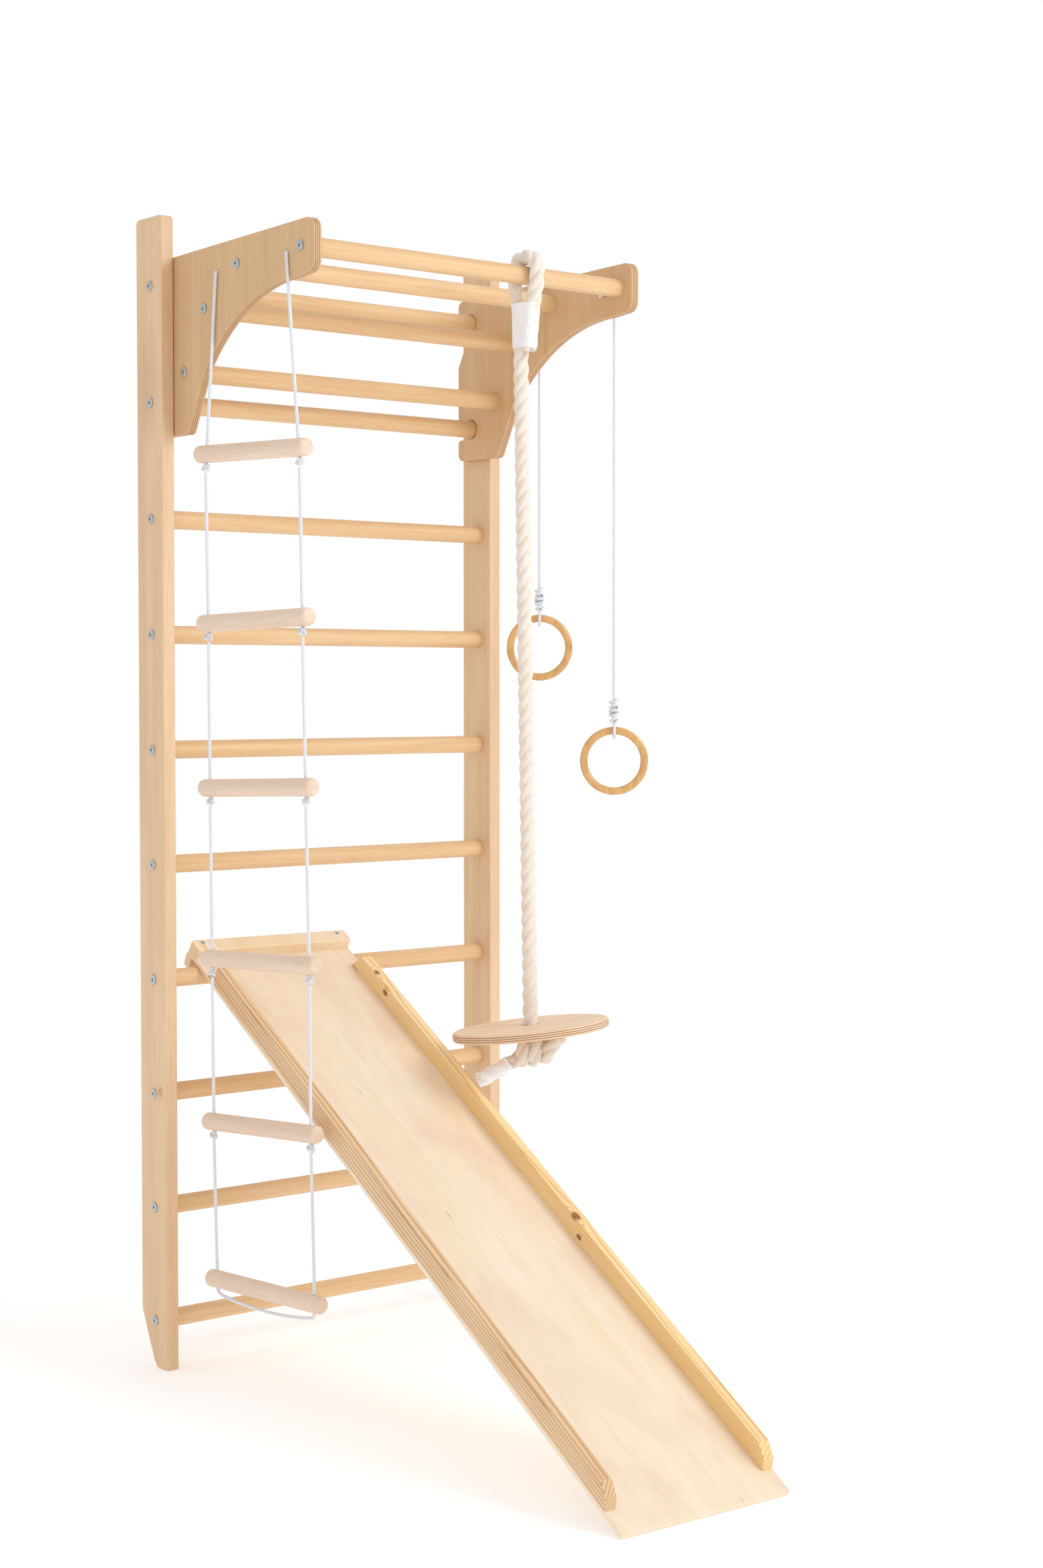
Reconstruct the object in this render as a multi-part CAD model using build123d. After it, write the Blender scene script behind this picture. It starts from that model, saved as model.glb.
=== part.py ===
from build123d import *
import os
from math import cos, radians, sin, sqrt

# Wooden wall bars for a home gym, with a hook-on pull-up frame, a rope ladder,
# a climbing rope with a disc seat, two rings and a hook-on slide.
# Frame: X runs along the rungs, Y points into the wall, Z points up. The origin is on
# the floor, against the wall, midway between the posts. All sizes are in millimetres.

# --- driving dimensions -------------------------------------------------------------

WALL_BARS_WIDTH = 820.0
POST_THICKNESS = 27.0
POST_DEPTH = 91.0
POST_HEIGHT = 2200.0
SKIRTING_NOTCH_HEIGHT = 105.0
SKIRTING_NOTCH_DEPTH = 44.0
FOOT_BEVEL = 12.0

RUNG_COUNT = 10
RUNG_PITCH = 220.0
LOWEST_RUNG_Z = 90.0
RUNG_DIAMETER = 35.0
RUNG_Y = -50.0
RUNG_SOCKET_DEPTH = 12.0

SCREW_HEAD_RADIUS = 9.5
SCREW_HEAD_HEIGHT = 3.0
SCREW_SHANK_RADIUS = 3.4
SCREW_HOLE_RADIUS = 3.45
SCREW_LENGTH = 70.0
HEX_SOCKET_RADIUS = 3.4

HANGER_PLATE_WIDTH = 19.0
HANGER_PLATE_LENGTH = 64.0
HANGER_PLATE_THICKNESS = 2.5
HANGER_HOLE_RADIUS = 4.2
HANGER_BORE_DEPTH = 45.0
HANGER_LOW_Z = 640.0
HANGER_HIGH_Z = 1960.0

PANEL_THICKNESS = 18.0
PANEL_POST_GAP = 1.0
PANEL_REAR = 42.0
PANEL_FRONT = -505.0
PANEL_BOTTOM = -284.0
HOOK_SLOT_RADIUS = 18.3
LOCK_SLOT_RADIUS = 20.0
GRIP_BAR_DIAMETER = 35.0
CORD_HOLE_RADIUS = 4.0

CORD_RADIUS = 3.0
CORD_KNOT_RADIUS = 9.0
CORD_HOLE_CLEARANCE = 0.6

LADDER_RUNG_LENGTH = 346.0
LADDER_RUNG_DIAMETER = 33.0
LADDER_RUNG_END_ROUNDING = 8.0
LADDER_CORD_SPACING = 301.0
LADDER_RUNG_HEIGHTS = (1737.0, 1431.0, 1127.0, 808.0, 503.0, 200.0)
LADDER_RUNG_TILTS = (-1.8, 1.0, 2.0, 2.2, 3.2, 1.5)
LADDER_RUNG_TURNS = (1.0, 1.1, 1.9, 2.6, 2.6, 2.8)
LADDER_RUNG_SWAYS = (-3.0, 1.5, 5.5, 10.0, 12.0, 18.5)

ROPE_RADIUS = 15.0
ROPE_X = 132.0
ROPE_LEAN = 30.0
ROPE_CLEARANCE = 0.4
TAPE_THICKNESS = 1.2
DISC_RADIUS = 150.0
DISC_THICKNESS = 18.0
DISC_HOLE_RADIUS = 17.5
DISC_Z = 658.0
DISC_TILT_X = -5.4
DISC_TILT_Y = -3.4

RING_OUTER_RADIUS = 67.5
RING_BAND = 15.0
RING_WIDTH = 18.0
RING_TURN = -40.0
RING_LOOP_RADIUS = 14.2
RING_KNOT_RADIUS = 13.0
RING_KNOT_LENGTH = 52.0
RING_CORD_BULGE = 6.0

SLIDE_WIDTH = 354.0
SLIDE_SLOPE = 30.7
SLIDE_TURN = 2.2
SLIDE_LEFT_X = -314.0
SLIDE_BOARD_THICKNESS = 8.0
SLIDE_RUNG_NUMBER = 7
SLIDE_ABOVE_RUNG = 30.0
SLIDE_BEHIND_RUNG = 46.0
RAIL_THICKNESS = 23.0
RAIL_HEIGHT = 35.0
RAIL_START = 88.0
RAIL_END_GAP = 50.0
RAIL_END_SLANT = 32.0
CLEAT_DEPTH = 36.0
CLEAT_HEIGHT = 22.0
HOOK_CLEAT_DEPTH = 20.0
HOOK_CLEAT_HEIGHT = 26.0

# --- places worked out from them ----------------------------------------------------

POST_OUTER_X = WALL_BARS_WIDTH / 2
POST_INNER_X = POST_OUTER_X - POST_THICKNESS
PANEL_OUTER_X = POST_INNER_X - PANEL_POST_GAP
PANEL_INNER_X = PANEL_OUTER_X - PANEL_THICKNESS
RUNG_RADIUS = RUNG_DIAMETER / 2
GRIP_BAR_RADIUS = GRIP_BAR_DIAMETER / 2
TOP_RUNG_Z = LOWEST_RUNG_Z + RUNG_PITCH * (RUNG_COUNT - 1)

# The bars of the pull-up frame, as (y, z) from the axis of the top rung.
GRIP_BARS = {
    "grip_bar_front": (-465.0, 17.0),
    "grip_bar_middle": (-259.0, 12.0),
    "frame_bar_upper": (-147.0, -57.0),
    "frame_bar_lower": (-77.0, -168.0),
}
# The cord holes in each panel, as (y, z) from the axis of the top rung.
REAR_CORD_HOLE = (-194.0, 5.0)
FRONT_CORD_HOLE = (-425.0, 10.0)
# How far the cords reach through each panel: up to the ladder's cords, and out to the rings' cords.
STUB_ENDS = {"left": PANEL_OUTER_X - 0.8, "right": PANEL_OUTER_X + RING_CORD_BULGE - 0.2}
# The middle of each ring: its cord hole and its height above the floor.
RINGS = {"rear": (REAR_CORD_HOLE, 1391.0), "front": (FRONT_CORD_HOLE, 1164.0)}

EAST = Vector(1, 0, 0)
DOWN = Vector(0, 0, -1)
ROPE_BAR_Y = RUNG_Y + GRIP_BARS["grip_bar_front"][0]
ROPE_BAR_Z = TOP_RUNG_Z + GRIP_BARS["grip_bar_front"][1]


# --- helpers ------------------------------------------------------------------------


def save(name, *solids):
    """Write the solids of one sub-part to its own STEP file."""
    shape = solids[0] if len(solids) == 1 else Compound(children=list(solids))
    export_step(shape, f"parts/{name}.step")


def rung_z(number):
    """Height of a rung's axis; rung 1 is the top one."""
    return TOP_RUNG_Z - RUNG_PITCH * (number - 1)


def x_rod(x_start, x_end, radius, y, z):
    """A round bar along X."""
    middle = Pos((x_start + x_end) / 2, y, z)
    return middle * Rot(0, 90, 0) * Cylinder(radius, abs(x_end - x_start))


def rod(start, end, radius):
    """A round bar from one point to another."""
    start = Vector(*start)
    end = Vector(*end)
    plane = Plane(origin=start, z_dir=end - start)
    return extrude(plane * Circle(radius), amount=(end - start).length)


def tube(points, radii, radius):
    """A round cord along straight runs joined by tangent arcs."""
    path = FilletPolyline(*points, radius=radii)
    start = Plane(origin=path @ 0, z_dir=path % 0)
    solid = sweep(start * Circle(radius), path=path)
    expected = path.length * 3.14159265 * radius**2
    print(f"tube length {path.length:.0f} mm, volume ratio {solid.volume / expected:.4f}, arcs {radii}")
    return solid


def nearest_vertex(face, y, z):
    """The corner of a side outline closest to (y, z)."""
    return min(face.vertices(), key=lambda v: (v.Y - y) ** 2 + (v.Z - z) ** 2)


def drill(solid, *cutters):
    """Cut each cutter out of the solid and keep one solid."""
    for cutter in cutters:
        solid = solid - cutter
    return solid.solid()


# --- screws -------------------------------------------------------------------------


def connector_screw(x_face, side, y, z):
    """A wide-headed furniture screw whose head sits on a face at x_face; side is -1 or 1, the way the head points."""
    head = extrude(Circle(SCREW_HEAD_RADIUS), amount=SCREW_HEAD_HEIGHT)
    head = fillet(head.edges().group_by(Axis.Z)[-1], 1.6)
    socket = Pos(0, 0, SCREW_HEAD_HEIGHT - 2.2) * extrude(RegularPolygon(HEX_SOCKET_RADIUS, 6), amount=3)
    shank = Pos(0, 0, -SCREW_LENGTH / 2) * Cylinder(SCREW_SHANK_RADIUS, SCREW_LENGTH)
    screw = (head - socket + shank).solid()
    return Pos(x_face, y, z) * Rot(0, 90 * side, 0) * screw


def screw_hole(x_face, side, y, z):
    """The hole that a connector screw's shank needs."""
    return x_rod(x_face + side, x_face - side * (SCREW_LENGTH + 1), SCREW_HOLE_RADIUS, y, z)


def wood_screw(head_radius, shank_radius, length):
    """A countersunk wood screw pointing down, its head's top face at the origin."""
    sink = head_radius - shank_radius
    head = Pos(0, 0, -sink / 2) * Cone(shank_radius, head_radius, sink)
    shank = Pos(0, 0, -length / 2 - sink / 2) * Cylinder(shank_radius, length - sink)
    drive = Pos(0, 0, -sink / 2) * (Box(head_radius, 0.9, sink) + Box(0.9, head_radius, sink))
    return (head + shank - drive).solid()


def wood_screw_hole(head_radius, shank_radius, length):
    """The countersunk hole that a wood screw needs."""
    sink = head_radius - shank_radius
    gap = 0.05
    head = Pos(0, 0, -sink / 2) * Cone(shank_radius + gap, head_radius + gap, sink)
    shank = Pos(0, 0, -length / 2) * Cylinder(shank_radius + gap, length + 1)
    return head + shank


# --- wall bars ----------------------------------------------------------------------


def post_blank():
    """One post, its inner face at x = 0, with the notch that clears a skirting board."""
    outline = Polyline(
        (0, -POST_DEPTH, 0),
        (0, -SKIRTING_NOTCH_DEPTH - FOOT_BEVEL, 0),
        (0, -SKIRTING_NOTCH_DEPTH, FOOT_BEVEL),
        (0, 0, SKIRTING_NOTCH_HEIGHT),
        (0, 0, POST_HEIGHT),
        (0, -POST_DEPTH, POST_HEIGHT),
        close=True,
    )
    blank = extrude(make_face(outline), amount=POST_THICKNESS, dir=(1, 0, 0))
    top_corners = blank.edges().filter_by(Axis.X).group_by(Axis.Z)[-1]
    blank = fillet(top_corners, 9)
    side_faces = blank.faces().filter_by(Axis.X)
    return fillet(side_faces.edges(), 2.5).solid()


def hanger_places(side):
    """The middles of the two wall hangers on one post."""
    x = side * (POST_OUTER_X - POST_THICKNESS / 2)
    return [(x, 0, HANGER_LOW_Z), (x, 0, HANGER_HIGH_Z)]


def hanger_plate_shape():
    """A rounded steel plate in the XZ plane, its outer face at y = 0, with a stud hole and two screw holes."""
    plate = Box(HANGER_PLATE_WIDTH, HANGER_PLATE_THICKNESS, HANGER_PLATE_LENGTH)
    plate = Pos(0, -HANGER_PLATE_THICKNESS / 2, 0) * plate
    return fillet(plate.edges().filter_by(Axis.Y), 6).solid()


def hanger_screw_places(place):
    x, y, z = place
    return [(x, y, z + offset) for offset in (-23, 23)]


def make_wall_bars():
    hanger_screw = wood_screw(3.6, 1.8, 22)
    hanger_screw_hole = wood_screw_hole(3.6, 1.8, 22)
    stud_bore = Rot(90, 0, 0) * Cylinder(HANGER_HOLE_RADIUS, 2 * HANGER_BORE_DEPTH)
    into_wood = Rot(-90, 0, 0)
    plates = []
    plate_screws = []
    for side, name in ((-1, "left"), (1, "right")):
        post = post_blank()
        if side < 0:
            post = Pos(-POST_OUTER_X, 0, 0) * post
        else:
            post = Pos(POST_INNER_X, 0, 0) * post
        cutters = []
        screws = []
        for number in range(1, RUNG_COUNT + 1):
            z = rung_z(number)
            socket_end = side * (POST_INNER_X + RUNG_SOCKET_DEPTH)
            cutters.append(x_rod(side * (POST_INNER_X - 1), socket_end, RUNG_RADIUS, RUNG_Y, z))
            cutters.append(screw_hole(side * POST_OUTER_X, side, RUNG_Y, z))
            screws.append(connector_screw(side * POST_OUTER_X, side, RUNG_Y, z))
        for place in hanger_places(side):
            here = Pos(*place)
            holes = [Pos(*p) * into_wood * hanger_screw_hole for p in hanger_screw_places(place)]
            plate = drill(here * hanger_plate_shape(), here * stud_bore, *holes)
            cutters += [here * hanger_plate_shape(), here * stud_bore, *holes]
            plates.append(plate)
            plate_screws += [Pos(*p) * into_wood * hanger_screw for p in hanger_screw_places(place)]
        save(f"{name}_post", drill(post, *cutters))
        save(f"rung_screws_{name}", *screws)
    save("wall_hanger_plates", *plates)
    save("wall_hanger_screws", *plate_screws)

    for number in range(1, RUNG_COUNT + 1):
        z = rung_z(number)
        half = POST_INNER_X + RUNG_SOCKET_DEPTH
        holes = [screw_hole(side * POST_OUTER_X, side, RUNG_Y, z) for side in (-1, 1)]
        save(f"rung_{number}", drill(x_rod(-half, half, RUNG_RADIUS, RUNG_Y, z), *holes))


# --- pull-up frame ------------------------------------------------------------------


def panel_outline():
    """The side of the pull-up frame as (y, z) from the top rung's axis: a hook over that rung, a slot that
    closes on the rung below, and a long arm with a hollow curve under it."""
    slant = HOOK_SLOT_RADIUS / sqrt(2)
    lower_wall = 30.0
    lip = PANEL_REAR - slant
    lock_top = -RUNG_PITCH + LOCK_SLOT_RADIUS
    lock_bottom = -RUNG_PITCH - LOCK_SLOT_RADIUS
    arch_start = (-442.0, -36.0)
    arch_middle = (-268.0, -77.0)
    arch_end = (-146.0, -172.0)
    toe = (-88.0, PANEL_BOTTOM)
    straight = [
        [toe, (PANEL_REAR, PANEL_BOTTOM), (PANEL_REAR, lock_bottom), (0, lock_bottom)],
        [(0, lock_top), (PANEL_REAR, lock_top), (PANEL_REAR, -88), (lower_wall - slant, -lower_wall - slant),
         (-slant, -slant)],
        [(slant, slant), (PANEL_REAR, slant - lip), (PANEL_REAR, 50), (PANEL_FRONT, 64), (PANEL_FRONT, -30),
         arch_start],
        [arch_end, toe],
    ]
    arcs = [
        [(0, lock_bottom), (-LOCK_SLOT_RADIUS, -RUNG_PITCH), (0, lock_top)],
        [(-slant, -slant), (-slant, slant), (slant, slant)],
        [arch_start, arch_middle, arch_end],
    ]
    lines = [Polyline(*[(0, y, z) for y, z in run]) for run in straight]
    curves = [ThreePointArc(*[(0, y, z) for y, z in run]) for run in arcs]
    face = make_face(lines + curves)
    corners = [
        (PANEL_REAR, PANEL_BOTTOM, 14),
        (PANEL_REAR, lock_bottom, 8),
        (PANEL_REAR, lock_top, 8),
        (PANEL_REAR, -88, 20),
        (lower_wall - slant, -lower_wall - slant, 9),
        (PANEL_REAR, slant - lip, 5),
        (PANEL_REAR, 50, 14),
        (PANEL_FRONT, 64, 22),
        (PANEL_FRONT, -30, 22),
        (arch_end[0], arch_end[1], 60),
        (toe[0], toe[1], 14),
    ]
    for y, z, radius in corners:
        face = fillet(nearest_vertex(face, y, z), radius)
    return face


def make_pull_up_frame():
    top_rung = Pos(0, RUNG_Y, TOP_RUNG_Z)
    blank = extrude(panel_outline(), amount=PANEL_THICKNESS, dir=(1, 0, 0))
    blank = fillet(blank.faces().filter_by(Axis.X).edges(), 1.5)
    for side, name in ((-1, "left"), (1, "right")):
        corner_x = -PANEL_OUTER_X if side < 0 else PANEL_INNER_X
        panel = Pos(corner_x, 0, 0) * top_rung * blank
        face_x = side * PANEL_OUTER_X
        cutters = []
        screws = []
        for y, z in GRIP_BARS.values():
            cutters.append(screw_hole(face_x, side, RUNG_Y + y, TOP_RUNG_Z + z))
            screws.append(connector_screw(face_x, side, RUNG_Y + y, TOP_RUNG_Z + z))
        stoppers = []
        for y, z in (REAR_CORD_HOLE, FRONT_CORD_HOLE):
            hole_y = RUNG_Y + y
            hole_z = TOP_RUNG_Z + z
            through = (side * (PANEL_INNER_X - 1), side * (PANEL_OUTER_X + 1))
            cutters.append(x_rod(*through, CORD_HOLE_RADIUS, hole_y, hole_z))
            knot_x = side * (PANEL_INNER_X - CORD_KNOT_RADIUS)
            knot = Pos(knot_x, hole_y, hole_z) * Sphere(CORD_KNOT_RADIUS)
            stub = x_rod(knot_x, side * STUB_ENDS[name], CORD_RADIUS, hole_y, hole_z)
            stoppers.append((knot + stub).solid())
        save(f"{name}_panel", drill(panel, *cutters))
        save(f"panel_screws_{name}", *screws)
        save(f"cord_stoppers_{name}", *stoppers)

    for name, (y, z) in GRIP_BARS.items():
        bar_y = RUNG_Y + y
        bar_z = TOP_RUNG_Z + z
        holes = [screw_hole(side * PANEL_OUTER_X, side, bar_y, bar_z) for side in (-1, 1)]
        bar = x_rod(-PANEL_INNER_X, PANEL_INNER_X, GRIP_BAR_RADIUS, bar_y, bar_z)
        save(name, drill(bar, *holes))


# --- rope ladder --------------------------------------------------------------------

LADDER_X = -(PANEL_OUTER_X + CORD_RADIUS + 0.2)
LADDER_MIDDLE_Y = RUNG_Y + (REAR_CORD_HOLE[0] + FRONT_CORD_HOLE[0]) / 2 - 6.0
LADDER_CORD_REACH = {"rear": LADDER_CORD_SPACING / 2, "front": -LADDER_CORD_SPACING / 2}
LADDER_HOLES = {"rear": REAR_CORD_HOLE, "front": FRONT_CORD_HOLE}
KNOT_GAP = 0.3
KNOT_HANG = 1.0
BOTTOM_SAG = 9.0
BOTTOM_BOW = 7.5


def ladder_rung_middle(number):
    """The middle of a ladder rung. The lower ones hang a little further in, as the limp ladder sways."""
    sway = LADDER_RUNG_SWAYS[number - 1]
    return (LADDER_X + sway, LADDER_MIDDLE_Y, LADDER_RUNG_HEIGHTS[number - 1])


def ladder_cord_xy(number, end):
    """Where the cord passes one end of a ladder rung, seen from above."""
    x, y, _ = ladder_rung_middle(number)
    turn = radians(LADDER_RUNG_TURNS[number - 1])
    reach = LADDER_CORD_REACH[end]
    return (x - reach * sin(turn), y + reach * cos(turn))


def ladder_knot(number, end):
    """The middle of the knot under one end of a ladder rung, which follows the rung's tilt."""
    slope = sin(radians(-LADDER_RUNG_TILTS[number - 1]))
    rung_height = LADDER_RUNG_HEIGHTS[number - 1] + LADDER_CORD_REACH[end] * slope
    underside = rung_height - LADDER_RUNG_DIAMETER / 2
    return (*ladder_cord_xy(number, end), underside - CORD_KNOT_RADIUS - KNOT_GAP)


def ladder_strand_top(number, end):
    """Where a strand starts: at its hole in the panel, or just under the knot above."""
    if number == 1:
        y, z = LADDER_HOLES[end]
        return (LADDER_X, RUNG_Y + y, TOP_RUNG_Z + z)
    x, y, z = ladder_knot(number - 1, end)
    return (x, y, z - CORD_KNOT_RADIUS - KNOT_HANG)


def make_rope_ladder():
    for number in range(1, 7):
        tilt = LADDER_RUNG_TILTS[number - 1]
        bar = Cylinder(LADDER_RUNG_DIAMETER / 2, LADDER_RUNG_LENGTH)
        bar = fillet(bar.edges(), LADDER_RUNG_END_ROUNDING)
        turn = Rot(0, 0, LADDER_RUNG_TURNS[number - 1])
        bar = Pos(*ladder_rung_middle(number)) * turn * Rot(90 - tilt, 0, 0) * bar
        strands = []
        holes = []
        for end in ("rear", "front"):
            top = ladder_strand_top(number, end)
            knot = ladder_knot(number, end)
            beyond = Vector(*knot) + (Vector(*knot) - Vector(*top)).normalized() * LADDER_RUNG_DIAMETER
            holes.append(rod(top, tuple(beyond), CORD_RADIUS + CORD_HOLE_CLEARANCE))
            ball = Pos(*knot) * Sphere(CORD_KNOT_RADIUS)
            strands.append((rod(top, knot, CORD_RADIUS) + ball).solid())
        save(f"ladder_rung_{number}", drill(bar, *holes))
        if number < 6:
            save(f"ladder_cords_{number}", *strands)
    save("ladder_cord_6", ladder_bottom_cord())


def ladder_bottom_cord():
    """The lowest stretch: one cord down through the last rung, along under it and up the other side."""
    lift = Vector(0, 0, CORD_KNOT_RADIUS - BOTTOM_SAG)
    rear = Vector(*ladder_knot(6, "rear")) + lift
    front = Vector(*ladder_knot(6, "front")) + lift
    points = [
        ladder_strand_top(6, "rear"),
        tuple(rear),
        tuple(rear + (front - rear) / 3 - Vector(0, 0, BOTTOM_BOW)),
        tuple(front + (rear - front) / 3 - Vector(0, 0, BOTTOM_BOW)),
        tuple(front),
        ladder_strand_top(6, "front"),
    ]
    return tube(points, [8, 300, 300, 8], CORD_RADIUS).solid()


# --- rings --------------------------------------------------------------------------

RING_CORD_X = PANEL_OUTER_X + CORD_RADIUS + RING_CORD_BULGE


def make_rings():
    band_radius = RING_OUTER_RADIUS - RING_BAND / 2
    for name, ((hole_y, hole_z), ring_z) in RINGS.items():
        y = RUNG_Y + hole_y
        facing = Pos(RING_CORD_X, y, ring_z) * Rot(0, 0, RING_TURN)
        section = Plane.XY * Pos(band_radius, 0) * RectangleRounded(RING_BAND, RING_WIDTH, 5)
        ring = revolve(section, axis=Axis.Y)
        save(f"ring_{name}", (facing * ring).solid())

        grip = facing * Pos(0, 0, band_radius)
        loop = grip * Rot(0, 90, 0) * Torus(RING_LOOP_RADIUS, CORD_RADIUS)
        knot = fillet(Cylinder(RING_KNOT_RADIUS, RING_KNOT_LENGTH).edges(), 6)
        knot_z = band_radius + RING_LOOP_RADIUS + RING_KNOT_LENGTH / 2
        knot = facing * Pos(0, 0, knot_z) * knot
        top = (RING_CORD_X, y, TOP_RUNG_Z + hole_z)
        line = rod(top, (RING_CORD_X, y, ring_z + knot_z), CORD_RADIUS)
        save(f"ring_cord_{name}", (line + knot + loop).solid())


# --- climbing rope and disc seat ----------------------------------------------------

LEG_OFFSET = ROPE_RADIUS + ROPE_CLEARANCE
LOOP_RADIUS = GRIP_BAR_RADIUS + ROPE_RADIUS + ROPE_CLEARANCE
TAPE_TOP = -52.0
TAPE_BOTTOM = -135.0
DEAD_END = -140.0
STANDING_Y = ROPE_BAR_Y + LEG_OFFSET
LEAN_START = -160.0
ROPE_END_GAP = 0.5
ROPE_KNOT_HEIGHT = 54.0
ROPE_KNOT_RADIUS = 44.0
ROPE_KNOT_TOP = DISC_Z - DISC_THICKNESS / 2 - 6.0
ROPE_KNOT_Y = STANDING_Y - ROPE_LEAN
TAIL_START = (ROPE_X - 20.0, ROPE_KNOT_Y + 16.0, ROPE_KNOT_TOP - 40.0)
TAIL_END = (ROPE_X - 78.0, ROPE_KNOT_Y + 63.0, ROPE_KNOT_TOP - 84.0)
TAIL_TAPE_LENGTH = 62.0


def rope_y(z):
    """Below its tape the rope leans as it hangs, so that its weight is below the bar."""
    share = (ROPE_BAR_Z + LEAN_START - z) / (ROPE_BAR_Z + LEAN_START - ROPE_KNOT_TOP)
    return STANDING_Y - ROPE_LEAN * share


def rope_route():
    """The standing part and its eye: over the front grip bar and back down beside itself."""
    route = [
        (-LEG_OFFSET, DEAD_END),
        (-LEG_OFFSET, -88),
        (-LOOP_RADIUS, -20),
        (-LOOP_RADIUS, LOOP_RADIUS + 0.1),
        (LOOP_RADIUS, LOOP_RADIUS + 0.1),
        (LOOP_RADIUS, -20),
        (LEG_OFFSET, -88),
        (LEG_OFFSET, LEAN_START),
        (LEG_OFFSET - ROPE_LEAN, ROPE_KNOT_TOP + ROPE_END_GAP - ROPE_BAR_Z),
    ]
    return [(ROPE_X, ROPE_BAR_Y + y, ROPE_BAR_Z + z) for y, z in route]


def make_climbing_rope():
    wrap = LOOP_RADIUS - 0.05
    save("climbing_rope", tube(rope_route(), [90, 90, wrap, wrap, 90, 90, 300], ROPE_RADIUS).solid())

    sleeve = SlotCenterToCenter(2 * LEG_OFFSET, 2 * (ROPE_RADIUS + TAPE_THICKNESS), rotation=90)
    base = Pos(ROPE_X, ROPE_BAR_Y, ROPE_BAR_Z + TAPE_BOTTOM)
    sleeve = base * extrude(sleeve, amount=TAPE_TOP - TAPE_BOTTOM)
    legs = tube(rope_route(), [90, 90, wrap, wrap, 90, 90, 300], ROPE_RADIUS)
    save("rope_eye_tape", (sleeve - legs).solids().sort_by(SortBy.VOLUME)[-1])

    knot = Cylinder(ROPE_KNOT_RADIUS, ROPE_KNOT_HEIGHT)
    knot = fillet(knot.edges(), 20)
    knot = Pos(ROPE_X, ROPE_KNOT_Y, ROPE_KNOT_TOP - ROPE_KNOT_HEIGHT / 2) * knot
    save("rope_stopper_knot", knot.solid())

    direction = (Vector(*TAIL_END) - Vector(*TAIL_START)).normalized()
    tape_start = Vector(*TAIL_END) - direction * TAIL_TAPE_LENGTH
    tail = rod(TAIL_START, TAIL_END, ROPE_RADIUS) - knot
    save("rope_tail", tail.solid())
    tape = rod(tuple(tape_start), tuple(Vector(*TAIL_END) + direction), ROPE_RADIUS + TAPE_THICKNESS)
    save("rope_tail_tape", (tape - tail - knot).solid())


def make_disc_seat():
    disc = Cylinder(DISC_RADIUS, DISC_THICKNESS)
    disc = fillet(disc.edges(), 6)
    disc = disc - Cylinder(DISC_HOLE_RADIUS, 2 * DISC_THICKNESS)
    tilt = Rot(DISC_TILT_X, DISC_TILT_Y, 0)
    save("disc_seat", (Pos(ROPE_X, rope_y(DISC_Z), DISC_Z) * tilt * disc).solid())


# --- slide --------------------------------------------------------------------------


def slide_frame():
    """The slide's own frame: origin at the board's top left corner, x across it, -y down it, z out of its face."""
    rung = rung_z(SLIDE_RUNG_NUMBER)
    slope = radians(SLIDE_SLOPE)
    y = RUNG_Y + SLIDE_BEHIND_RUNG * cos(slope) - SLIDE_ABOVE_RUNG * sin(slope)
    z = rung + SLIDE_BEHIND_RUNG * sin(slope) + SLIDE_ABOVE_RUNG * cos(slope)
    y += SLIDE_WIDTH / 2 * sin(radians(SLIDE_TURN))
    return Pos(SLIDE_LEFT_X, y, z) * Rot(0, 0, -SLIDE_TURN) * Rot(SLIDE_SLOPE, 0, 0), z


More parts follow.
